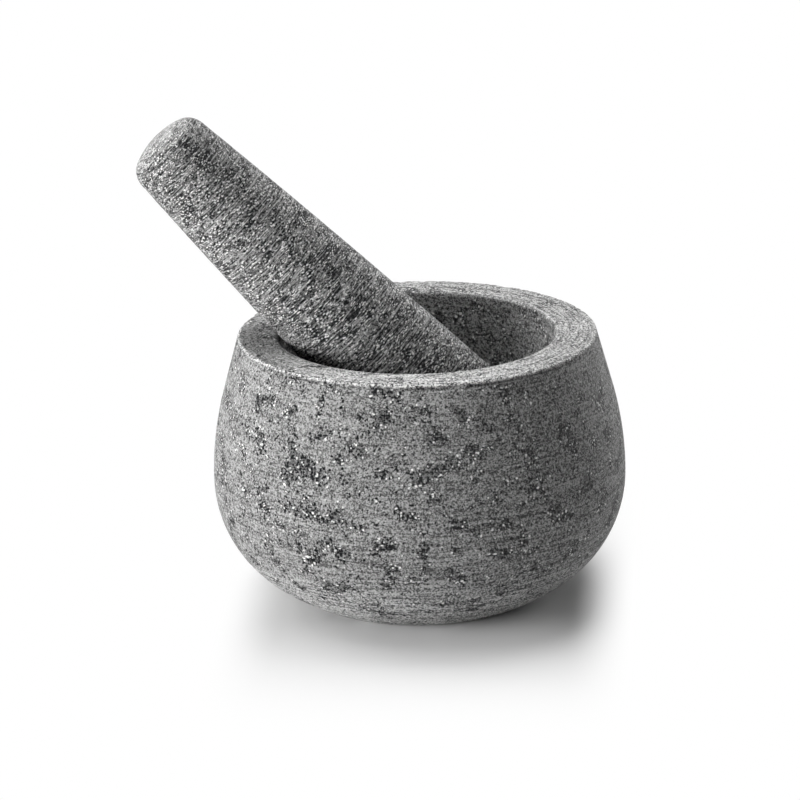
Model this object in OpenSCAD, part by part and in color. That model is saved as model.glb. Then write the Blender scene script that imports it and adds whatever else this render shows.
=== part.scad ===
// Granite mortar: a thick turned bowl, and the pestle that leans in it.
// Millimetres, +Z up. The origin is the centre of the bowl's flat foot.
// The pestle leans towards -X, in a plane through the bowl's axis.

/* [Bowl outside] */
// Diameter of the bowl at the belly, its widest line
belly_d = 140; // [110:1:180]
// Height of the bowl from its foot to its rim
bowl_h = 91.5; // [76:0.5:115]
// Height of the belly above the foot
belly_z = 42; // [34:0.5:52]
// How far the rim's outer edge stands in from the belly
rim_inset = 9.5; // [7:0.5:12]
// Length of the straight wall just under the rim
wall_l = 21; // [10:0.5:30]
// How far the foot's edge stands in from the belly
foot_inset = 31.2; // [26:0.2:38]
// Turn of the side from upright where the belly's curve hands over to the one below it
belly_turn = 53; // [46:1:58]
// Turn of the side from upright where it meets the foot
foot_turn = 67; // [62:1:74]

/* [Bowl hollow] */
// Width of the rim between its two edges
rim_w = 13.6; // [10:0.2:17]
// Thickness of the stone under the hollow
floor_t = 26; // [16:0.5:32]
// How much less the radius of the hollow's round bottom is than the mouth's
hollow_taper = 1.9; // [1:0.1:5]

/* [Bowl edges] */
// Rounding of the rim's outer edge
rim_outer_round = 1; // [0.4:0.1:3]
// Rounding of the rim's inner edge
rim_inner_round = 1.5; // [0.4:0.1:3]
// Rounding of the foot's edge
foot_round = 2; // [0.5:0.1:4]

/* [Pestle] */
// Length of the pestle
pestle_l = 168.5; // [150:0.5:205]
// Diameter that the side runs out to at the handle's end
handle_d = 28; // [24:0.5:34]
// Diameter that the side runs out to at the nose
head_d = 47.4; // [40:0.2:54]
// How far the side swells beyond a straight taper
side_swell = 1; // [0.3:0.1:2]
// Radius of the domed handle end
handle_dome = 27.6; // [22:0.2:40]
// Rounding between the handle's dome and the side
handle_round = 7; // [3:0.5:9]
// Radius of the domed grinding nose
nose_dome = 30; // [26:0.5:36]
// Rounding between the nose's dome and the side
nose_round = 12; // [6:0.5:15]

/* [Seat of the pestle] */
// Where the nose rests in the hollow, as an angle from straight down
nose_rest = 44.5; // [20:0.5:60]
// Gap between the two stones where the pestle rests
rest_gap = 0.3; // [0.2:0.05:1]

/* [Hidden] */
$fn = 240;

// Where two curves of an outline run together, the tighter one is a hair larger and laps the other,
// so that they cross on one line and leave no step
hair = 0.005;
lap = 3;
// Steps along the pestle's gently swelling side
side_steps = 12;
stone_grey = [0.46, 0.46, 0.455];
stone_pale = [0.5, 0.5, 0.495];

function along(angle) = [cos(angle), sin(angle)];
function unit(v) = v / norm(v);
function bearing(v) = atan2(v.y, v.x);

// For an arc that meets another: its step out, and how far it runs on until it is safely inside
function hair_step(r, other_r) = r < other_r ? hair : -hair;
function lap_past(r, other_r) = r < other_r ? 1.5 * sqrt(2 * hair / (1 / r - 1 / other_r)) : 0;

// Crossing of two circles, on the left of the way from the first centre to the second
function crossing(centre_1, r_1, centre_2, r_2) =
    let (
        apart = norm(centre_2 - centre_1),
        ahead = (centre_2 - centre_1) / apart,
        forward = (apart * apart + r_1 * r_1 - r_2 * r_2) / (2 * apart),
        aside = sqrt(r_1 * r_1 - forward * forward)
    )
    centre_1 + forward * ahead + aside * [-ahead.y, ahead.x];

// Bowl, outside: below the belly two arcs share the turn from upright to the foot's slope
belly_r = belly_d / 2;
belly_in = 1 - cos(belly_turn);
belly_down = sin(belly_turn);
foot_in = cos(belly_turn) - cos(foot_turn);
foot_down = sin(foot_turn) - sin(belly_turn);
turn_share = belly_in * foot_down - foot_in * belly_down;
belly_curve = (foot_inset * foot_down - foot_in * belly_z) / turn_share;
foot_curve = (belly_in * belly_z - belly_down * foot_inset) / turn_share;
belly_centre = [belly_r - belly_curve, belly_z];
foot_centre = belly_centre + (belly_curve - foot_curve) * along(-belly_turn);
hand_over_z = foot_centre.y - foot_curve * belly_down;

// Bowl, outside: above the belly an arc runs into the straight wall
rim_r = belly_r - rim_inset;
rise = bowl_h - belly_z;
wall_lean = 2 * atan(rim_inset / (rise + wall_l));
upper_curve = (rise - wall_l * cos(wall_lean)) / sin(wall_lean);
upper_centre = [belly_r - upper_curve, belly_z];

// How far each arc stands out from its true line, so that the tighter of two that meet is a hair out
belly_hair = hair_step(belly_curve, foot_curve);
upper_hair = belly_hair + hair_step(upper_curve, belly_curve);
wall_start = upper_centre + (upper_curve + upper_hair - hair) * along(wall_lean);

// Bowl, hollow: a round bottom that runs into a slightly tapered wall
mouth_r = rim_r - rim_w;
hollow_r = mouth_r - hollow_taper;
hollow_centre = [0, floor_t + hollow_r];
to_mouth = [mouth_r, bowl_h] - hollow_centre;
hollow_lean = acos(hollow_r / norm(to_mouth)) - bearing(to_mouth);
hollow_wall_start = hollow_centre + (hollow_r - hair) * along(-hollow_lean);

// Bowl, edges: the centre of each rounding, and the way its two faces look
up = [0, 1];
down = [0, -1];
wall_out = along(wall_lean);
hollow_out = [-cos(hollow_lean), sin(hollow_lean)];
rim_outer_centre = [
    rim_r - rim_outer_round * (1 - wall_out.y) / wall_out.x,
    bowl_h - rim_outer_round
];
rim_inner_centre = [
    mouth_r - rim_inner_round * (1 - hollow_out.y) / hollow_out.x,
    bowl_h - rim_inner_round
];
foot_round_centre = [
    foot_centre.x + sqrt(pow(foot_curve - foot_round, 2) - pow(foot_centre.y - foot_round, 2)),
    foot_round
];

// Pestle, upright with its nose at the origin: the side is one long arc between two end domes
handle_r = handle_d / 2;
head_r = head_d / 2;
side_chord = [handle_r - head_r, pestle_l];
side_curve = (side_chord * side_chord / 4 + side_swell * side_swell) / (2 * side_swell);
side_in = unit([-side_chord.y, side_chord.x]);
side_centre = ([head_r, 0] + [handle_r, pestle_l]) / 2 + (side_curve - side_swell) * side_in;
handle_centre = [0, pestle_l - handle_dome];
nose_centre = [0, nose_dome];
handle_round_centre = crossing(
    side_centre, side_curve - handle_round, handle_centre, handle_dome - handle_round);
nose_round_centre = crossing(
    nose_centre, nose_dome - nose_round, side_centre, side_curve - nose_round);

function side_r(z) = side_centre.x + sqrt(pow(side_curve, 2) - pow(z - side_centre.y, 2));

// Seat: the nose rests in the hollow's round bottom and the side on the rim's inner rounding
nose_seat = hollow_centre + (hollow_r - nose_dome - rest_gap) * along(nose_rest - 90);
rim_seat = [-rim_inner_centre.x, rim_inner_centre.y];
nose_to_side = side_centre - nose_centre;
side_seat = crossing(
    rim_seat, side_curve + rim_inner_round + rest_gap, nose_seat, norm(nose_to_side));
pestle_lean = bearing(side_seat - nose_seat) - bearing([nose_to_side.y, nose_to_side.x]) - 90;
pestle_foot = nose_seat - nose_dome * along(90 + pestle_lean);

// The slice of a disc between two heights, right of the axis
module band(centre, r, low, high) {
    intersection() {
        translate(centre) circle(r);
        translate([0, low]) square([centre.x + 2 * r, high - low]);
    }
}

// A profile with one corner rounded: the corner is cut off between the ways that its two faces
// look from the rounding's centre, and a disc fills it
module rounded(centre, r, face_1, face_2) {
    reach = 3 * r;
    difference() {
        children();
        translate(centre)
            polygon([[0, 0], reach * face_1, reach * (face_1 + face_2), reach * face_2]);
    }
    translate(centre) circle(r + hair);
}

module bowl_outside() {
    square([foot_round_centre.x, bowl_h]);
    band(foot_centre, foot_curve, 0, hand_over_z + lap_past(foot_curve, belly_curve));
    band(belly_centre, belly_curve + belly_hair,
        hand_over_z - lap_past(belly_curve, foot_curve), belly_z + lap_past(belly_curve, upper_curve));
    band(upper_centre, upper_curve + upper_hair,
        belly_z - lap_past(upper_curve, belly_curve), wall_start.y + lap);
    polygon([[0, wall_start.y], wall_start, [rim_r, bowl_h], [0, bowl_h]]);
}

module bowl_hollow() {
    translate(hollow_centre) circle(hollow_r);
    polygon([
        [0, hollow_wall_start.y],
        hollow_wall_start,
        [mouth_r, bowl_h],
        [mouth_r, bowl_h + lap],
        [0, bowl_h + lap]
    ]);
}

module bowl_profile() {
    intersection() {
        square([belly_d, bowl_h]);
        rounded(rim_inner_centre, rim_inner_round, up, hollow_out)
        rounded(rim_outer_centre, rim_outer_round, up, wall_out)
        rounded(foot_round_centre, foot_round, down, unit(foot_round_centre - foot_centre))
        difference() {
            bowl_outside();
            bowl_hollow();
        }
    }
}

module pestle_profile() {
    side = [
        for (step = [0 : side_steps])
            let (z = pestle_l * step / side_steps)
            [side_r(z), z]
    ];
    intersection() {
        square([head_d, pestle_l]);
        rounded(nose_round_centre, nose_round,
            unit(nose_round_centre - nose_centre), unit(nose_round_centre - side_centre))
        rounded(handle_round_centre, handle_round,
            unit(handle_round_centre - side_centre), unit(handle_round_centre - handle_centre))
        intersection() {
            polygon(concat([[0, 0]], side, [[0, pestle_l]]));
            union() {
                translate(nose_centre) circle(nose_dome);
                translate(handle_centre) circle(handle_dome);
                translate(nose_centre) square([head_r + lap, handle_centre.y - nose_centre.y]);
            }
        }
    }
}

module mortar_bowl() {
    color(stone_grey) rotate_extrude() bowl_profile();
}

module pestle() {
    color(stone_pale)
        translate([pestle_foot.x, 0, pestle_foot.y])
        rotate([0, -pestle_lean, 0])
        rotate_extrude() pestle_profile();
}

mortar_bowl();
pestle();
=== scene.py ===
"""Looks of a turned granite mortar and its pestle: two stones, their finishes and a studio stage."""

import math

import bmesh
import bpy
from bpy.props import FloatProperty, FloatVectorProperty, IntProperty, PointerProperty
from mathutils import Euler, Matrix, Vector, noise


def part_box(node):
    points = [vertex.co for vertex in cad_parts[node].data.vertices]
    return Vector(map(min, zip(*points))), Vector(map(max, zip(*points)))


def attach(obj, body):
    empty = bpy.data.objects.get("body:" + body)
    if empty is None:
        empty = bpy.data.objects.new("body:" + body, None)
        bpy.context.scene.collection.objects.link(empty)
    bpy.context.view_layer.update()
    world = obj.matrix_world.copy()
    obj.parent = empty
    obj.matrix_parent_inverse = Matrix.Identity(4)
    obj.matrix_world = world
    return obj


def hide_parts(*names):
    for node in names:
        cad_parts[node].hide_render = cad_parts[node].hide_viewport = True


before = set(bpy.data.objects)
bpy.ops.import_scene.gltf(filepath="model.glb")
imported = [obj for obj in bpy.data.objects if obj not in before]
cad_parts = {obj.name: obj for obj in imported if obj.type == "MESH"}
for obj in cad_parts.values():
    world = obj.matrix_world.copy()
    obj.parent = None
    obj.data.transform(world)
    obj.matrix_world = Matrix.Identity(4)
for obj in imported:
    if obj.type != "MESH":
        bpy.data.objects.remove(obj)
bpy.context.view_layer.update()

bl_info = {
    "name": "Granite mortar and pestle",
    "version": (1, 0, 0),
    "blender": (4, 5, 0),
    "location": "View3D > Sidebar > Mortar",
    "description": "Builds the stone looks of a turned granite mortar and its pestle",
    "category": "Object",
}

BOWL_NODE = "mortar_bowl"
PESTLE_NODE = "pestle"
BOWL_LOW, BOWL_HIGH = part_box(BOWL_NODE)
UP = Vector((0.0, 0.0, 1.0))
# A turn about this axis goes from across to up in the lathe profile
TURN_LEFT = (0.0, -1.0, 0.0)
# Points of a mesh that lie closer than this are one point
MERGE_REACH = 1e-6
# Turns the blotches away from the bowl's axes, so that they don't lie in rows
SLANT = Euler((0.6, 0.5, 0.7)).to_matrix()
# Vertex attribute that keeps how far a point lies in a blotch
MOTTLE = "mottle"
# Node groups that both stones use
LATHE_GROUP = "lathe_frame"
MINERALS_GROUP = "granite_minerals"


def length(name, description, default):
    """A size in metres."""
    return FloatProperty(name=name, description=description, default=default, unit="LENGTH",
                         subtype="DISTANCE", precision=5)


def angle(name, description, degrees):
    """An angle, given in degrees."""
    return FloatProperty(name=name, description=description, default=math.radians(degrees),
                         subtype="ANGLE")


def colour(name, description, default):
    """A colour in linear light."""
    return FloatVectorProperty(name=name, description=description, default=default, size=3,
                               min=0.0, max=1.0, subtype="COLOR")


class BowlSizes(bpy.types.PropertyGroup):
    """Sizes of the turned bowl."""

    belly_d: length("Belly", "Diameter at the widest line", BOWL_HIGH.x - BOWL_LOW.x)
    bowl_h: length("Height", "Foot to rim", BOWL_HIGH.z - BOWL_LOW.z)
    belly_z: length("Belly height", "Height of the widest line", 0.042)
    rim_inset: length("Rim inset", "How far the rim's edge stands in from the belly", 0.0095)
    wall_l: length("Straight wall", "Length of the straight wall under the rim", 0.021)
    foot_inset: length("Foot inset", "How far the foot's edge stands in from the belly", 0.0312)
    belly_turn: angle("Belly turn", "Turn from upright where the belly's curve ends", 53)
    foot_turn: angle("Foot turn", "Turn from upright at the foot", 67)
    rim_w: length("Rim width", "Width of the rim between its edges", 0.0136)
    floor_t: length("Floor", "Stone under the hollow", 0.026)
    hollow_taper: length("Taper", "How much wider the mouth's radius is than the hollow's", 0.0019)
    rim_outer_round: length("Outer rounding", "Rounding of the rim's outer edge", 0.001)
    rim_inner_round: length("Inner rounding", "Rounding of the rim's inner edge", 0.0015)
    foot_round: length("Foot rounding", "Rounding of the foot's edge", 0.002)
    segments: IntProperty(name="Segments", description="Steps around the bowl", default=360)


class PestleSizes(bpy.types.PropertyGroup):
    """Sizes and rest place of the pestle."""

    pestle_l: length("Length", "Nose to handle end", 0.1685)
    handle_d: length("Handle", "Diameter that the side runs out to at the handle", 0.028)
    head_d: length("Head", "Diameter that the side runs out to at the nose", 0.0474)
    side_swell: length("Swell", "How far the side swells past a straight taper", 0.001)
    handle_dome: length("Handle dome", "Radius of the domed handle end", 0.0276)
    handle_round: length("Handle rounding", "Rounding between the dome and the side", 0.007)
    nose_dome: length("Nose dome", "Radius of the grinding nose", 0.03)
    nose_round: length("Nose rounding", "Rounding between the nose and the side", 0.012)
    lean: angle("Lean", "Lean from upright at rest", 44.4267)
    foot_x: length("Nose place", "Where the nose's tip lies across the bowl", 0.0313032)
    foot_z: length("Nose height", "Height of the nose's tip", 0.0390908)
    segments: IntProperty(name="Segments", description="Steps around the pestle", default=180)


class StoneLook(bpy.types.PropertyGroup):
    """Colours of the granite."""

    ground_dark: colour("Dark ground", "Darker grains of the stone's grey ground", (0.06, 0.06, 0.06))
    ground_pale: colour("Pale ground", "Paler grains of the stone's grey ground", (0.395, 0.395, 0.391))
    torn_dark: colour("Torn dark", "Darker streaks of the torn stone", (0.022, 0.022, 0.022))
    torn_pale: colour("Torn pale", "Paler streaks of the torn stone", (0.325, 0.325, 0.322))
    mottle: colour("Mottle", "Soft dark blotches", (0.042, 0.042, 0.043))
    # The speck colour is also the colour of the painted shadow under the bowl's rim
    speck: colour("Speck", "Black mineral grains", (0.004, 0.004, 0.005))
    fleck: colour("Fleck", "White mineral grains", (0.8, 0.8, 0.79))
    # The worn colour is also the colour of the painted highlight on the rim's inner edge and of the
    # painted sheen on the rim
    worn: colour("Worn", "Stone rubbed pale and smooth", (0.85, 0.85, 0.842))
    floor: colour("Floor", "Studio floor", (0.7, 0.7, 0.7))


def in_profile(point):
    """A point of the lathe profile, across and up, as a point of space."""
    return Vector((point[0], 0.0, point[1]))


def bearing(way):
    """Turn from across to a way in the profile."""
    return math.atan2(way[1], way[0])


def along(turn):
    """The way in the profile that has that turn from across."""
    return Vector((math.cos(turn), math.sin(turn)))


def crossing(centre_1, r_1, centre_2, r_2):
    """Crossing of two circles, on the left of the way from the first centre to the second."""
    apart = centre_2 - centre_1
    ahead = apart.normalized()
    forward = (apart.length_squared + r_1 * r_1 - r_2 * r_2) / (2 * apart.length)
    aside = math.sqrt(r_1 * r_1 - forward * forward)
    return centre_1 + forward * ahead + aside * Vector((-ahead.y, ahead.x))


def last_point(spun):
    """The profile's new end after a spin of its old one."""
    return next(item for item in spun["geom_last"] if isinstance(item, bmesh.types.BMVert))


def draw_line(bm, tip, end, step):
    """Carries the profile on in a straight line, in steps of about that length."""
    move = in_profile(end) - tip.co
    steps = max(1, round(move.length / step))
    return last_point(bmesh.ops.spin(bm, geom=[tip], cent=tip.co, axis=TURN_LEFT, angle=0.0,
                                     dvec=move / steps, steps=steps, use_merge=False))


def draw_arc(bm, tip, centre, end_bearing, step):
    """Carries the profile on round a centre to a bearing, in steps of about that length."""
    arm = tip.co - in_profile(centre)
    sweep = end_bearing - bearing((arm.x, arm.z))
    steps = max(1, round(abs(sweep) * arm.length / step))
    return last_point(bmesh.ops.spin(bm, geom=[tip], cent=in_profile(centre), axis=TURN_LEFT,
                                     angle=sweep, steps=steps, use_merge=False))


def turn_on_lathe(bm, segments):
    """Turns the profile through a slice of the round, copies the slice round, and closes it."""
    slices = 12
    slice_turn = 2 * math.pi / slices
    bmesh.ops.spin(bm, geom=bm.verts[:] + bm.edges[:], cent=(0, 0, 0), axis=UP, angle=slice_turn,
                   steps=segments // slices, use_merge=False)
    bmesh.ops.spin(bm, geom=bm.verts[:] + bm.edges[:] + bm.faces[:], cent=(0, 0, 0), axis=UP,
                   angle=slice_turn * (slices - 1), steps=slices - 1, use_duplicate=True,
                   use_merge=False)
    bmesh.ops.remove_doubles(bm, verts=bm.verts, dist=MERGE_REACH)
    bmesh.ops.recalc_face_normals(bm, faces=bm.faces)
    for face in bm.faces:
        face.smooth = True


def bowl_profile(bm, size):
    """Draws the bowl's outline from the middle of its foot, up the outside and down the hollow."""
    belly_r = size.belly_d / 2
    belly_in = 1 - math.cos(size.belly_turn)
    belly_down = math.sin(size.belly_turn)
    foot_in = math.cos(size.belly_turn) - math.cos(size.foot_turn)
    foot_down = math.sin(size.foot_turn) - math.sin(size.belly_turn)
    share = belly_in * foot_down - foot_in * belly_down
    belly_curve = (size.foot_inset * foot_down - foot_in * size.belly_z) / share
    foot_curve = (belly_in * size.belly_z - belly_down * size.foot_inset) / share
    belly_centre = Vector((belly_r - belly_curve, size.belly_z))
    foot_centre = belly_centre + (belly_curve - foot_curve) * along(-size.belly_turn)
    foot_reach = math.sqrt((foot_curve - size.foot_round) ** 2
                           - (foot_centre.y - size.foot_round) ** 2)
    foot_round_centre = Vector((foot_centre.x + foot_reach, size.foot_round))

    rim_r = belly_r - size.rim_inset
    rise = size.bowl_h - size.belly_z
    wall_lean = 2 * math.atan(size.rim_inset / (rise + size.wall_l))
    upper_curve = (rise - size.wall_l * math.cos(wall_lean)) / math.sin(wall_lean)
    upper_centre = Vector((belly_r - upper_curve, size.belly_z))
    outer_round = size.rim_outer_round
    outer_in = outer_round * (1 - math.sin(wall_lean)) / math.cos(wall_lean)
    outer_centre = Vector((rim_r - outer_in, size.bowl_h - outer_round))

    mouth_r = rim_r - size.rim_w
    hollow_r = mouth_r - size.hollow_taper
    hollow_centre = Vector((0.0, size.floor_t + hollow_r))
    to_mouth = Vector((mouth_r, size.bowl_h)) - hollow_centre
    hollow_lean = math.acos(hollow_r / to_mouth.length) - bearing(to_mouth)
    inner_round = size.rim_inner_round
    inner_out = inner_round * (1 - math.sin(hollow_lean)) / math.cos(hollow_lean)
    inner_centre = Vector((mouth_r + inner_out, size.bowl_h - inner_round))

    foot_step = 0.0025
    foot_edge_step = 0.0004
    side_step = 0.0008
    outer_edge_step = 0.00025
    rim_step = 0.0006
    inner_edge_step = 0.0003
    hollow_wall_step = 0.0009
    hollow_floor_step = 0.0011
    foot_end = bearing(foot_round_centre - foot_centre)
    tip = bm.verts.new((0, 0, 0))
    tip = draw_line(bm, tip, (foot_round_centre.x, 0), foot_step)
    tip = draw_arc(bm, tip, foot_round_centre, foot_end, foot_edge_step)
    tip = draw_arc(bm, tip, foot_centre, -size.belly_turn, side_step)
    tip = draw_arc(bm, tip, belly_centre, 0.0, side_step)
    tip = draw_arc(bm, tip, upper_centre, wall_lean, side_step)
    tip = draw_line(bm, tip, outer_centre + outer_round * along(wall_lean), side_step)
    tip = draw_arc(bm, tip, outer_centre, math.pi / 2, outer_edge_step)
    tip = draw_line(bm, tip, (inner_centre.x, size.bowl_h), rim_step)
    tip = draw_arc(bm, tip, inner_centre, math.pi - hollow_lean, inner_edge_step)
    tip = draw_line(bm, tip, hollow_centre + hollow_r * along(-hollow_lean), hollow_wall_step)
    tip = draw_arc(bm, tip, hollow_centre, -math.pi / 2, hollow_floor_step)
    tip.co.x = 0.0


def pestle_profile(bm, size):
    """Draws the pestle's outline, upright with its nose at the origin, from nose to handle end."""
    handle_r = size.handle_d / 2
    head_r = size.head_d / 2
    chord = Vector((handle_r - head_r, size.pestle_l))
    side_curve = (chord.length_squared / 4 + size.side_swell ** 2) / (2 * size.side_swell)
    side_in = Vector((-chord.y, chord.x)).normalized()
    middle = Vector(((head_r + handle_r) / 2, size.pestle_l / 2))
    side_centre = middle + (side_curve - size.side_swell) * side_in
    handle_centre = Vector((0.0, size.pestle_l - size.handle_dome))
    nose_centre = Vector((0.0, size.nose_dome))
    handle_round_centre = crossing(side_centre, side_curve - size.handle_round,
                                   handle_centre, size.handle_dome - size.handle_round)
    nose_round_centre = crossing(nose_centre, size.nose_dome - size.nose_round,
                                 side_centre, side_curve - size.nose_round)

    step = 0.00036
    nose_step = 2 * step
    tip = bm.verts.new((0, 0, 0))
    tip = draw_arc(bm, tip, nose_centre, bearing(nose_round_centre - nose_centre), nose_step)
    tip = draw_arc(bm, tip, nose_round_centre, bearing(nose_round_centre - side_centre), step)
    tip = draw_arc(bm, tip, side_centre, bearing(handle_round_centre - side_centre), step)
    tip = draw_arc(bm, tip, handle_round_centre, bearing(handle_round_centre - handle_centre), step)
    tip = draw_arc(bm, tip, handle_centre, math.pi / 2, step)
    tip.co.x = 0.0


def fade(value, low, high):
    """0 below the low value, 1 above the high one, and a smooth rise between."""
    share = min(1.0, max(0.0, (value - low) / (high - low)))
    return share * share * (3 - 2 * share)


def ring_noise(place, pitch, spread):
    """Noise that changes over one pitch up or out, and slowly round the lathe axis."""
    r = math.hypot(place.x, place.y)
    round_x = place.x / r * spread if r > MERGE_REACH else 0.0
    round_y = place.y / r * spread if r > MERGE_REACH else 0.0
    return noise.noise(Vector((round_x + r / pitch, round_y, place.z / pitch)))


def mottle_at(place):
    """How far a place lies in one of the stone's dark blotches: above about 0.2 it is inside."""
    broad_pitch = 0.0058
    fine_pitch = 0.0026
    fine_share = 0.35
    apart = Vector((7.3, 1.9, 4.1))
    slanted = SLANT @ place
    broad = noise.noise(slanted / broad_pitch)
    fine = noise.noise(slanted / fine_pitch + apart)
    return broad + fine_share * fine


def sunken(mottled):
    """0 outside the stone's blotches and 1 well inside them."""
    return fade(mottled, 0.15, 0.5)


def wear_stone(bm, depth_at):
    """Sinks each point of the stone along its normal, and keeps how mottled it is there."""
    mottled = bm.verts.layers.float.new(MOTTLE)
    bm.normal_update()
    moves = []
    for point in bm.verts:
        point[mottled] = mottle_at(point.co)
        moves.append(point.normal * depth_at(point.co, point[mottled]))
    for point, move in zip(bm.verts, moves):
        point.co -= move
    bm.normal_update()


def bowl_wear(size):
    """Depth of the bowl's tool rings, of its sunken blotches and of the nicks in its rim's edge."""
    rim_r = size.belly_d / 2 - size.rim_inset
    foot_clear = 0.0015
    edge_band = 0.0016
    cut_depth = 0.00003
    ring_depth = 0.00004
    ring_pitch = 0.0011
    ring_spread = 1.4
    blotch_depth = 0.00009
    large_nick_depth = 0.0005
    large_nick_pitch = 0.0031
    small_nick_depth = 0.00015
    small_nick_pitch = 0.0013

    def depth_at(place, mottled):
        r = math.hypot(place.x, place.y)
        outside = fade(r, rim_r - edge_band, rim_r)
        rings = cut_depth + ring_depth * (0.5 + 0.5 * ring_noise(place, ring_pitch, ring_spread))
        sunk = blotch_depth * sunken(mottled)
        edge = 1 - fade(math.hypot(r - rim_r, place.z - size.bowl_h), 0.0, edge_band)
        nick = edge * large_nick_depth * fade(noise.noise(place / large_nick_pitch), 0.1, 0.6)
        nick += edge * small_nick_depth * fade(noise.noise(place / small_nick_pitch), 0.0, 0.5)
        return fade(place.z, 0.0, foot_clear) * (rings + sunk * outside) + nick

    return depth_at


def pestle_wear(place, mottled):
    """Depth of the pestle's tool grooves and of its sunken blotches."""
    groove_depth = 0.00008
    groove_pitch = 0.0008
    groove_spread = 2.2
    blotch_depth = 0.00006
    groove = 0.5 + 0.5 * ring_noise(place, groove_pitch, groove_spread)
    return groove_depth * groove + blotch_depth * sunken(mottled)


def finish_piece(bm, name, node, body, material):
    """Makes the shown piece that stands for a node and rides on its body."""
    mesh = bpy.data.meshes.new(name)
    bm.to_mesh(mesh)
    bm.free()
    piece = bpy.data.objects.new(name, mesh)
    bpy.context.scene.collection.objects.link(piece)
    mesh.materials.append(material)
    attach(piece, body)
    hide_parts(node)


class Bench:
    """Places shader nodes in one tree and wires them up."""

    def __init__(self, tree):
        self.tree = tree

    def place(self, kind, **settings):
        """A new node with its settings."""
        node = self.tree.nodes.new(kind)
        for name, value in settings.items():
            setattr(node, name, value)
        return node

    def wire(self, value, socket):
        """Links an output to the socket, or writes a plain value on it."""
        if isinstance(value, bpy.types.NodeSocket):
            self.tree.links.new(value, socket)
        elif socket.type == "RGBA":
            socket.default_value = (*value, 1.0)
        else:
            socket.default_value = value

    def maths(self, operation, *values):
        """A value worked out from other values."""
        node = self.place("ShaderNodeMath", operation=operation)
        for value, socket in zip(values, node.inputs):
            self.wire(value, socket)
        return node.outputs["Value"]

    def vector_maths(self, operation, *values):
        """A vector worked out from vectors, or the length of one."""
        node = self.place("ShaderNodeVectorMath", operation=operation)
        for value, socket in zip(values, node.inputs):
            self.wire(value, socket)
        return node.outputs["Value" if operation == "LENGTH" else "Vector"]

    def scaled(self, vector, factor):
        """A vector times a factor."""
        node = self.place("ShaderNodeVectorMath", operation="SCALE")
        self.wire(vector, node.inputs["Vector"])
        self.wire(factor, node.inputs["Scale"])
        return node.outputs["Vector"]

    def split(self, vector):
        """The three parts of a vector."""
        node = self.place("ShaderNodeSeparateXYZ")
        self.wire(vector, node.inputs["Vector"])
        return node.outputs["X"], node.outputs["Y"], node.outputs["Z"]

    def fade(self, value, low, high, to_low=0.0, to_high=1.0):
        """A smooth rise, or fall, between two values."""
        node = self.place("ShaderNodeMapRange", interpolation_type="SMOOTHSTEP")
        for part, socket in zip((value, low, high, to_low, to_high), node.inputs):
            self.wire(part, socket)
        return node.outputs["Result"]

    def mix(self, share, first, second):
        """A colour between two colours."""
        node = self.place("ShaderNodeMix", data_type="RGBA")
        self.wire(share, node.inputs["Factor"])
        for value, socket in zip((first, second), (s for s in node.inputs if s.type == "RGBA")):
            self.wire(value, socket)
        return next(s for s in node.outputs if s.type == "RGBA")

    def noise(self, vector, w, scale, detail, roughness=0.5):
        """Soft noise round 0.5."""
        node = self.place("ShaderNodeTexNoise", noise_dimensions="4D")
        for value, name in ((vector, "Vector"), (w, "W"), (scale, "Scale"), (detail, "Detail"),
                            (roughness, "Roughness")):
            self.wire(value, node.inputs[name])
        return node.outputs["Fac"]

    def crystals(self, vector, w, scale):
        """Crystals that fill the stone: one random value in each."""
        node = self.place("ShaderNodeTexVoronoi", voronoi_dimensions="4D")
        for value, name in ((vector, "Vector"), (w, "W"), (scale, "Scale")):
            self.wire(value, node.inputs[name])
        split = self.place("ShaderNodeSeparateColor")
        self.wire(node.outputs["Color"], split.inputs["Color"])
        return split.outputs["Red"]

    def group(self, tree, **values):
        """Places a node group with its values, and gives its outputs."""
        node = self.place("ShaderNodeGroup", node_tree=tree)
        for name, value in values.items():
            self.wire(value, node.inputs[name.capitalize()])
        return node.outputs


def new_group(name, inputs, outputs):
    """An empty shader node group with its sockets: its bench, what it is given and what it gives."""
    tree = bpy.data.node_groups.new(name, "ShaderNodeTree")
    for way, sockets in (("INPUT", inputs), ("OUTPUT", outputs)):
        for socket_name, kind in sockets.items():
            tree.interface.new_socket(socket_name, in_out=way, socket_type="NodeSocket" + kind)
    bench = Bench(tree)
    given = bench.place("NodeGroupInput").outputs
    result = bench.place("NodeGroupOutput").inputs
    return bench, given, result


def lathe_frame_group():
    """Places on a turned piece: round its axis at a set reach and up it, and out from it."""
    bench, given, result = new_group(LATHE_GROUP, {"Place": "Vector", "Reach": "Float"},
                                     {"Around": "Vector", "Out": "Float"})
    flat = bench.vector_maths("MULTIPLY", given["Place"], (1.0, 1.0, 0.0))
    upright = bench.vector_maths("MULTIPLY", given["Place"], (0.0, 0.0, 1.0))
    ring = bench.scaled(bench.vector_maths("NORMALIZE", flat), given["Reach"])
    bench.wire(bench.vector_maths("ADD", ring, upright), result["Around"])
    bench.wire(bench.vector_maths("LENGTH", flat), result["Out"])
    return bench.tree


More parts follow.
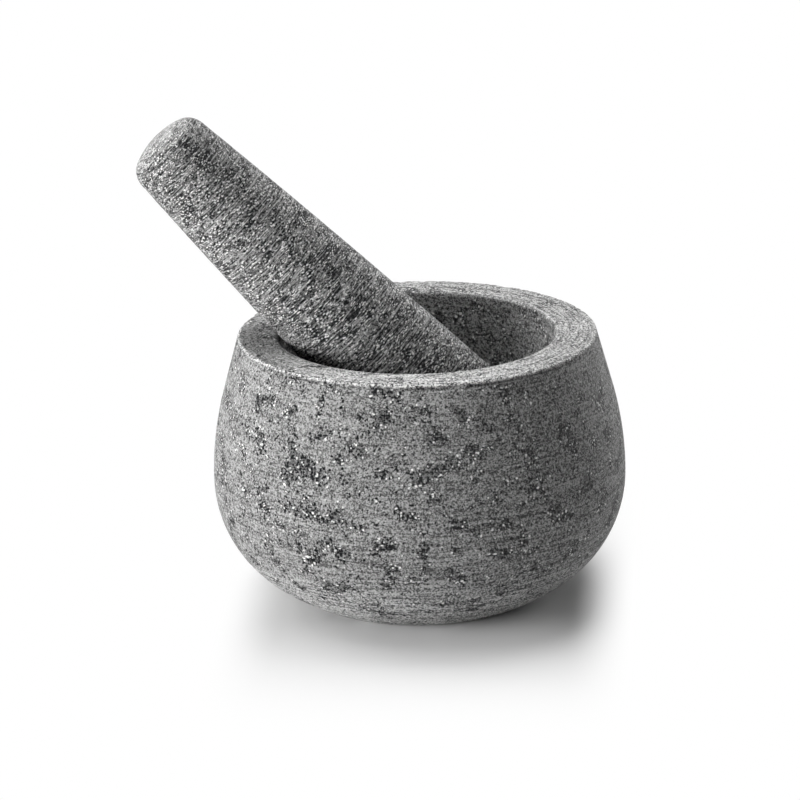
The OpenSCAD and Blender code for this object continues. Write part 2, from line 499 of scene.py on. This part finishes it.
def granite_group():
    """Minerals of the granite: its grain, dark blotches, black specks and white flecks."""
    bench, given, result = new_group(
        MINERALS_GROUP,
        {"Place": "Vector", "Out": "Float", "Mottle": "Float", "Specks": "Float", "Flecks": "Float",
         "Chips": "Float"},
        {"Grain": "Float", "Blotch": "Float", "Speck": "Float", "Fleck": "Float", "Height": "Float"})
    ragged_scale = 0.5
    ragged_weight = 0.7
    grain_scale = 1.2
    grit_scale = 3.4
    grit_weight = 0.3
    crystal_scale = 1.35
    crystal_shift = (13.0, 29.0, 7.0)
    chip_scale = 1.9
    chip_shift = (5.0, 17.0, 31.0)
    blotch_specks = 0.2
    blotch_flecks = 0.025
    speck_edge = 0.025
    fleck_edge = 0.03
    speck_height = -0.5

    place = given["Place"]
    out = given["Out"]
    coarse = bench.maths("SUBTRACT", bench.noise(place, out, ragged_scale, 1.0), 0.5)
    ragged = bench.maths("MULTIPLY_ADD", coarse, ragged_weight, given["Mottle"])
    blotch = bench.fade(ragged, 0.16, 0.45)
    grit = bench.maths("SUBTRACT", bench.crystals(place, out, grit_scale), 0.5)
    fine = bench.noise(place, out, grain_scale, 2.0, 0.8)
    grain = bench.maths("MULTIPLY_ADD", grit, grit_weight, fine)

    # A crystal is black if its value is below the dark share, and white if above 1 less the pale share
    crystal = bench.crystals(bench.vector_maths("ADD", place, crystal_shift), out, crystal_scale)
    chip = bench.crystals(bench.vector_maths("ADD", place, chip_shift), out, chip_scale)
    crowded = bench.fade(ragged, -0.1, 0.5, 0.0, blotch_specks)
    dark_share = bench.maths("ADD", crowded, given["Specks"])
    large_speck = bench.fade(bench.maths("SUBTRACT", dark_share, crystal), 0.0, speck_edge)
    small_dark = bench.maths("MULTIPLY", dark_share, given["Chips"])
    small_speck = bench.fade(bench.maths("SUBTRACT", small_dark, chip), 0.0, speck_edge)
    speck = bench.maths("MAXIMUM", large_speck, small_speck)
    sprinkled = bench.fade(ragged, -0.2, 0.3, 0.0, blotch_flecks)
    pale_share = bench.maths("ADD", sprinkled, given["Flecks"])
    large_fleck = bench.fade(bench.maths("ADD", crystal, pale_share), 1.0, 1.0 + fleck_edge)
    small_pale = bench.maths("MULTIPLY_ADD", pale_share, given["Chips"], chip)
    small_fleck = bench.fade(small_pale, 1.0, 1.0 + fleck_edge)
    fleck = bench.maths("MAXIMUM", large_fleck, small_fleck)

    height = bench.maths("MULTIPLY_ADD", speck, speck_height, grain)
    for name, value in (("Grain", grain), ("Blotch", blotch), ("Speck", speck), ("Fleck", fleck),
                        ("Height", height)):
        bench.wire(value, result[name])
    return bench.tree


def new_material(name):
    """A material with its bench and its shader."""
    material = bpy.data.materials.new(name)
    material.use_nodes = True
    bench = Bench(material.node_tree)
    return material, bench, material.node_tree.nodes["Principled BSDF"]


def shared_group(name, maker):
    """A node group that both stones use, made the first time that it is asked for."""
    return bpy.data.node_groups.get(name) or maker()


def own_frame(bench, unit, foot=(0.0, 0.0, 0.0), lean=0.0):
    """Object coordinates in the frame that the piece was turned in, counted in units of that length."""
    frame_of_piece = bench.place("ShaderNodeMapping", vector_type="TEXTURE")
    bench.wire(bench.place("ShaderNodeTexCoord").outputs["Object"], frame_of_piece.inputs["Vector"])
    bench.wire(foot, frame_of_piece.inputs["Location"])
    bench.wire((0.0, -lean, 0.0), frame_of_piece.inputs["Rotation"])
    bench.wire((unit, unit, unit), frame_of_piece.inputs["Scale"])
    return frame_of_piece.outputs["Vector"]


def finish_stone(bench, shader, stone, grain, height, depth):
    """Sends a stone's colour and relief to its shader, rougher on the paler grains."""
    bump = bench.place("ShaderNodeBump")
    bench.wire(depth, bump.inputs["Distance"])
    bench.wire(height, bump.inputs["Height"])
    bench.wire(bump.outputs["Normal"], shader.inputs["Normal"])
    bench.wire(stone, shader.inputs["Base Color"])
    bench.wire(bench.maths("MULTIPLY_ADD", grain, 0.3, 0.5), shader.inputs["Roughness"])
    shader.inputs["Specular IOR Level"].default_value = 0.12


def near_ring(bench, out, up, ring_r, ring_z, reach):
    """1 on a ring round the lathe axis, falling to 0 at that reach from it."""
    across = bench.place("ShaderNodeCombineXYZ")
    bench.wire(bench.maths("SUBTRACT", out, ring_r), across.inputs["X"])
    bench.wire(bench.maths("SUBTRACT", up, ring_z), across.inputs["Y"])
    return bench.fade(bench.vector_maths("LENGTH", across.outputs["Vector"]), 0.0, reach, 1.0, 0.0)


def mottle_of(bench):
    """How far a place of the piece lies in a blotch, as its points keep it."""
    return bench.place("ShaderNodeAttribute", attribute_name=MOTTLE).outputs["Fac"]


def bowl_granite(look, size):
    """Granite of the bowl: speckled and lathe lined, polished by the foot and on part of the rim, where
    painted light from below and a painted sheen are added, with painted shade on its right side, a
    painted highlight on the front of the rim's inner edge and a painted shadow under the rim's lip.
    """
    material, bench, shader = new_material("bowl_granite")
    unit = 0.001
    blotch_weight = 0.45
    rim_lines = 0.45
    relief = 0.0003
    place = own_frame(bench, unit)
    x, y, up = bench.split(place)
    lathe = bench.group(shared_group(LATHE_GROUP, lathe_frame_group), place=place, reach=3.0)
    out = lathe["Out"]
    lines = bench.noise(lathe["Around"], out, 1.3, 1.0)
    rim_z = size.bowl_h / unit
    rim_r = (size.belly_d / 2 - size.rim_inset) / unit
    mouth_r = rim_r - size.rim_w / unit
    on_rim = bench.fade(up, rim_z - 0.7, rim_z - 0.15)
    # Paler towards the foot: partly the turned stone, and partly painted light in place of the light
    # from below
    foot_polish_and_underlight = bench.fade(up, 4.0, 28.0, 1.0, 0.0)

    # The right side, away from the handle and from the main lamps, has fewer blotches and greyer specks,
    # and its ground is darkened there as painted shade
    calm_and_shaded_side = bench.fade(x, -20.0, 40.0)
    even_mottle = 0.07
    painted_shade_tone = -0.017
    even_specks = -0.22
    rim_mottle = bench.maths("MULTIPLY", on_rim, 0.12)
    plain = bench.maths("MAXIMUM", bench.fade(up, 8.0, 28.0, 0.15, 0.0), rim_mottle)
    plain = bench.maths("MULTIPLY_ADD", calm_and_shaded_side, even_mottle, plain)
    mottle = bench.maths("SUBTRACT", mottle_of(bench), plain)
    minerals = bench.group(shared_group(MINERALS_GROUP, granite_group), place=place, out=0.0,
                           mottle=mottle, specks=0.035, flecks=0.014, chips=1.2)

    lined = bench.fade(up, 15.0, 75.0, 0.5, 0.3)
    lined = bench.maths("MAXIMUM", lined, bench.maths("MULTIPLY", on_rim, rim_lines))
    tone = bench.maths("MULTIPLY_ADD", bench.maths("SUBTRACT", lines, 0.5), lined, minerals["Grain"])
    # Painted shade: the ground is darkened on the right side
    tone = bench.maths("MULTIPLY_ADD", calm_and_shaded_side, painted_shade_tone, tone)
    shade = bench.fade(tone, 0.38, 0.62)
    ground = bench.mix(shade, look.ground_dark, look.ground_pale)
    polish = bench.mix(shade, look.ground_dark, look.worn)
    # Paler towards the front and right of the rim: partly rubbed stone and partly a painted sheen
    rubbed_and_sheen = bench.maths("ADD", bench.fade(x, -50.0, 10.0, 0.0, 0.45),
                          bench.fade(y, -55.0, -25.0, 0.45, 0.0))
    rubbed_and_sheen = bench.maths("MULTIPLY", on_rim, rubbed_and_sheen)
    # Polish by the foot and on the rim, which also carries painted light from below and a painted sheen
    polished_and_lit = bench.mix(bench.maths("MAXIMUM", foot_polish_and_underlight, rubbed_and_sheen), ground, polish)
    dark = bench.maths("MULTIPLY", minerals["Blotch"], blotch_weight)
    blotched = bench.mix(dark, polished_and_lit, look.mottle)
    black = bench.maths("MULTIPLY", minerals["Speck"],
                        bench.maths("MULTIPLY_ADD", calm_and_shaded_side, even_specks, 1.0))
    specked = bench.mix(black, blotched, look.speck)
    flecked = bench.mix(minerals["Fleck"], specked, look.fleck)

    # The rim's edges: a painted highlight on the front of the inner edge, chips on the outer edge, and a
    # painted shadow just under the lip
    inner_edge = near_ring(bench, out, up, mouth_r + 0.4, rim_z - 0.4, 1.2)
    outer_edge = near_ring(bench, out, up, rim_r - 0.2, rim_z - 0.2, 1.0)
    under_edge = near_ring(bench, out, up, rim_r + 0.2, rim_z - 1.5, 0.7)
    # Painted highlight on the front of the rim's inner edge
    inner_edge_highlight = bench.maths("MULTIPLY", inner_edge, bench.fade(y, -50.0, -10.0, 0.8, 0.1))
    chipped = bench.maths("MULTIPLY", outer_edge, bench.fade(minerals["Grain"], 0.45, 0.6))
    # Painted shadow in broken dashes just under the rim's lip, in the speck colour
    painted_lip_shadow = bench.maths("MULTIPLY", under_edge, bench.fade(lines, 0.45, 0.6, 0.0, 0.8))
    edged_and_highlit = bench.mix(bench.maths("MAXIMUM", inner_edge_highlight, chipped), flecked, look.worn)
    worn = bench.mix(painted_lip_shadow, edged_and_highlit, look.speck)

    height = bench.maths("MULTIPLY_ADD", lines, lined, minerals["Height"])
    finish_stone(bench, shader, worn, minerals["Grain"], height, relief)
    return material


def pestle_granite(look, size):
    """Granite of the pestle: minerals torn into short streaks, lathe lines and fine pale scratches."""
    material, bench, shader = new_material("pestle_granite")
    unit = 0.0004
    blotch_weight = 0.85
    scratch_weight = 0.35
    relief = 0.00007
    place = own_frame(bench, unit, (size.foot_x, 0.0, size.foot_z), size.lean)

    # The shorter its reach, the further a pattern is drawn out round the pestle's axis
    frame_group = shared_group(LATHE_GROUP, lathe_frame_group)
    torn = bench.group(frame_group, place=place, reach=22.0)
    drawn = bench.group(frame_group, place=place, reach=4.75)
    scratched = bench.group(frame_group, place=place, reach=1.9)
    lines = bench.noise(drawn["Around"], drawn["Out"], 0.8, 1.0, 0.6)
    scratches = bench.noise(scratched["Around"], scratched["Out"], 1.2, 0.0)
    minerals = bench.group(shared_group(MINERALS_GROUP, granite_group), place=torn["Around"],
                           out=torn["Out"], mottle=mottle_of(bench), specks=0.29, flecks=0.11, chips=0.0)

    tone = bench.maths("ADD", bench.maths("SUBTRACT", lines, 0.5), minerals["Grain"])
    ground = bench.mix(bench.fade(tone, 0.36, 0.64), look.torn_dark, look.torn_pale)
    dark = bench.maths("MULTIPLY", minerals["Blotch"], blotch_weight)
    blotched = bench.mix(dark, ground, look.mottle)
    specked = bench.mix(minerals["Speck"], blotched, look.speck)
    scored = bench.mix(bench.fade(scratches, 0.6, 0.68, 0.0, scratch_weight), specked, look.fleck)
    flecked = bench.mix(minerals["Fleck"], scored, look.fleck)
    end_z = size.pestle_l / unit
    up = bench.split(place)[2]
    handled = bench.fade(up, end_z - 12.5, end_z - 2.5, 0.0, 0.1)
    worn = bench.mix(handled, flecked, look.ground_pale)

    height = bench.maths("ADD", lines, minerals["Height"])
    finish_stone(bench, shader, worn, minerals["Grain"], height, relief)
    return material


def seen_rays(bench):
    """1 for rays from the camera, in reflections and through glass, and 0 for rays that light."""
    path = bench.place("ShaderNodeLightPath").outputs
    shown = bench.maths("MAXIMUM", path["Is Camera Ray"], path["Is Glossy Ray"])
    return bench.maths("MAXIMUM", shown, path["Is Transmission Ray"])


def floor_finish(look):
    """Pale floor that keeps the shadow near the object and fades to white away from it."""
    material, bench, shader = new_material("studio_floor")
    bench.wire(look.floor, shader.inputs["Base Color"])
    shader.inputs["Roughness"].default_value = 0.9
    shader.inputs["Specular IOR Level"].default_value = 0.0
    white = bench.place("ShaderNodeEmission")
    shadow_x = 0.003
    x, y = bench.split(bench.place("ShaderNodeTexCoord").outputs["Object"])[:2]
    across = bench.maths("ABSOLUTE", bench.maths("SUBTRACT", x, shadow_x))
    ahead = bench.maths("ABSOLUTE", y)
    shaded = bench.maths("MULTIPLY", bench.fade(across, 0.048, 0.07, 1.0, 0.0),
                         bench.fade(ahead, 0.025, 0.145, 1.0, 0.0))
    share = bench.maths("MULTIPLY", seen_rays(bench), bench.maths("SUBTRACT", 1.0, shaded))
    blend = bench.place("ShaderNodeMixShader")
    bench.wire(share, blend.inputs["Fac"])
    for value, socket in zip((shader.outputs["BSDF"], white.outputs["Emission"]), blend.inputs[1:]):
        bench.wire(value, socket)
    bench.wire(blend.outputs["Shader"], material.node_tree.nodes["Material Output"].inputs["Surface"])
    return material


def softbox(name, place, panel, level):
    """A soft lamp that looks at the bowl; by itself it lights a white sheet there to that level."""
    target = Vector((0.0, 0.0, 0.06))
    lamp = bpy.data.lights.new(name, "AREA")
    lamp.shape = "RECTANGLE"
    lamp.size, lamp.size_y = panel
    ahead = target - Vector(place)
    lamp.energy = level * (math.pi * ahead.length) ** 2
    stand = bpy.data.objects.new(name, lamp)
    stand.matrix_world = Matrix.Translation(place) @ ahead.to_track_quat("-Z", "Y").to_matrix().to_4x4()
    stand.visible_camera = False
    bpy.context.scene.collection.objects.link(stand)


def beside(azimuth, reach, height):
    """A place round the object: 0 degrees is along X, and 90 is behind it."""
    turn = math.radians(azimuth)
    return (reach * math.cos(turn), reach * math.sin(turn), height)


def studio_floor(scene):
    """A wide round floor for the bowl to stand on."""
    bm = bmesh.new()
    bmesh.ops.create_circle(bm, cap_ends=True, radius=3.0, segments=64)
    mesh = bpy.data.meshes.new("studio_floor")
    bm.to_mesh(mesh)
    bm.free()
    floor = bpy.data.objects.new("studio_floor", mesh)
    scene.collection.objects.link(floor)
    mesh.materials.append(floor_finish(scene.mortar_stone_look))


def studio_backdrop(scene):
    """A backdrop that shows white and lights nothing."""
    world = bpy.data.worlds.new("studio")
    world.use_nodes = True
    bench = Bench(world.node_tree)
    backdrop = world.node_tree.nodes["Background"]
    bench.wire((1.0, 1.0, 1.0), backdrop.inputs["Color"])
    bench.wire(seen_rays(bench), backdrop.inputs["Strength"])
    scene.world = world


def studio_lamps():
    """Six soft lamps, the strongest from the left and from above and behind."""
    side_reach = 1.2
    side_height = 0.27
    side_panel = (0.6, 0.5)
    back_reach = 1.1
    back_height = 0.57
    back_panel = (0.6, 0.6)
    top_shift = 0.45
    top_height = 1.15
    top_panel = (0.8, 0.8)
    softbox("left_softbox", beside(210, side_reach, side_height), side_panel, 0.93)
    softbox("front_softbox", beside(240, side_reach, side_height), side_panel, 0.28)
    softbox("right_softbox", beside(50, side_reach, side_height), side_panel, 0.33)
    softbox("back_left_softbox", beside(150, back_reach, back_height), back_panel, 0.52)
    softbox("overhead_left_softbox", (-top_shift, 0.0, top_height), top_panel, 0.36)
    softbox("overhead_softbox", (0.0, top_shift, top_height), top_panel, 0.93)


def studio_camera(scene):
    """A long lens that looks a little down on the bowl, slightly rolled."""
    azimuth = math.radians(3.955)
    elevation = math.radians(17.6889)
    roll = math.radians(1.2223)
    aim_across = -0.006214
    aim_up = 0.067272
    reach = 1.82806
    camera = bpy.data.cameras.new("camera")
    camera.lens = 242.8
    camera.sensor_width = 36.0
    camera.clip_end = 20.0
    view = bpy.data.objects.new("camera", camera)
    right = Vector((math.cos(azimuth), math.sin(azimuth), 0))
    ahead = Vector((-math.sin(azimuth) * math.cos(elevation),
                    math.cos(azimuth) * math.cos(elevation), -math.sin(elevation)))
    above = right.cross(ahead)
    rolled_right = right * math.cos(roll) - above * math.sin(roll)
    rolled_up = right * math.sin(roll) + above * math.cos(roll)
    place = right * aim_across + UP * aim_up - ahead * reach
    turn = Matrix((rolled_right, rolled_up, -ahead)).transposed()
    view.matrix_world = Matrix.Translation(place) @ turn.to_4x4()
    scene.collection.objects.link(view)
    scene.camera = view


class MORTAR_OT_bowl(bpy.types.Operator):
    """Turns the bowl, wears its surface and gives it its granite."""

    bl_idname = "mortar.bowl"
    bl_label = "Bowl"

    def execute(self, context):
        size = context.scene.mortar_bowl_sizes
        bm = bmesh.new()
        bowl_profile(bm, size)
        turn_on_lathe(bm, size.segments)
        wear_stone(bm, bowl_wear(size))
        material = bowl_granite(context.scene.mortar_stone_look, size)
        finish_piece(bm, "bowl_stone", BOWL_NODE, "bowl", material)
        return {"FINISHED"}


class MORTAR_OT_pestle(bpy.types.Operator):
    """Turns the pestle, cuts its tool lines and leans it in the hollow."""

    bl_idname = "mortar.pestle"
    bl_label = "Pestle"

    def execute(self, context):
        size = context.scene.mortar_pestle_sizes
        bm = bmesh.new()
        pestle_profile(bm, size)
        turn_on_lathe(bm, size.segments)
        wear_stone(bm, pestle_wear)
        lean = Matrix.Translation((size.foot_x, 0, size.foot_z)) @ Matrix.Rotation(-size.lean, 4, "Y")
        bmesh.ops.transform(bm, matrix=lean, verts=bm.verts)
        material = pestle_granite(context.scene.mortar_stone_look, size)
        finish_piece(bm, "pestle_stone", PESTLE_NODE, "pestle", material)
        return {"FINISHED"}


class MORTAR_OT_stage(bpy.types.Operator):
    """Sets the floor, the studio light and the camera."""

    bl_idname = "mortar.stage"
    bl_label = "Stage"

    def execute(self, context):
        scene = context.scene
        scene.view_settings.view_transform = "Standard"
        studio_floor(scene)
        studio_backdrop(scene)
        studio_lamps()
        studio_camera(scene)
        return {"FINISHED"}


class MORTAR_PT_panel(bpy.types.Panel):
    """Lists the steps that build the mortar."""

    bl_idname = "MORTAR_PT_panel"
    bl_label = "Mortar and pestle"
    bl_space_type = "VIEW_3D"
    bl_region_type = "UI"
    bl_category = "Mortar"

    def draw(self, context):
        for step in STEPS:
            self.layout.operator(step.bl_idname)


STEPS = (MORTAR_OT_bowl, MORTAR_OT_pestle, MORTAR_OT_stage)
CLASSES = (BowlSizes, PestleSizes, StoneLook, *STEPS, MORTAR_PT_panel)


def register():
    for cls in CLASSES:
        bpy.utils.register_class(cls)
    bpy.types.Scene.mortar_bowl_sizes = PointerProperty(type=BowlSizes)
    bpy.types.Scene.mortar_pestle_sizes = PointerProperty(type=PestleSizes)
    bpy.types.Scene.mortar_stone_look = PointerProperty(type=StoneLook)


def unregister():
    del bpy.types.Scene.mortar_stone_look
    del bpy.types.Scene.mortar_pestle_sizes
    del bpy.types.Scene.mortar_bowl_sizes
    for cls in reversed(CLASSES):
        bpy.utils.unregister_class(cls)


def main():
    """Builds both stones and the stage."""
    register()
    bpy.ops.mortar.bowl()
    bpy.ops.mortar.pestle()
    bpy.ops.mortar.stage()


if __name__ == "__main__":
    main()
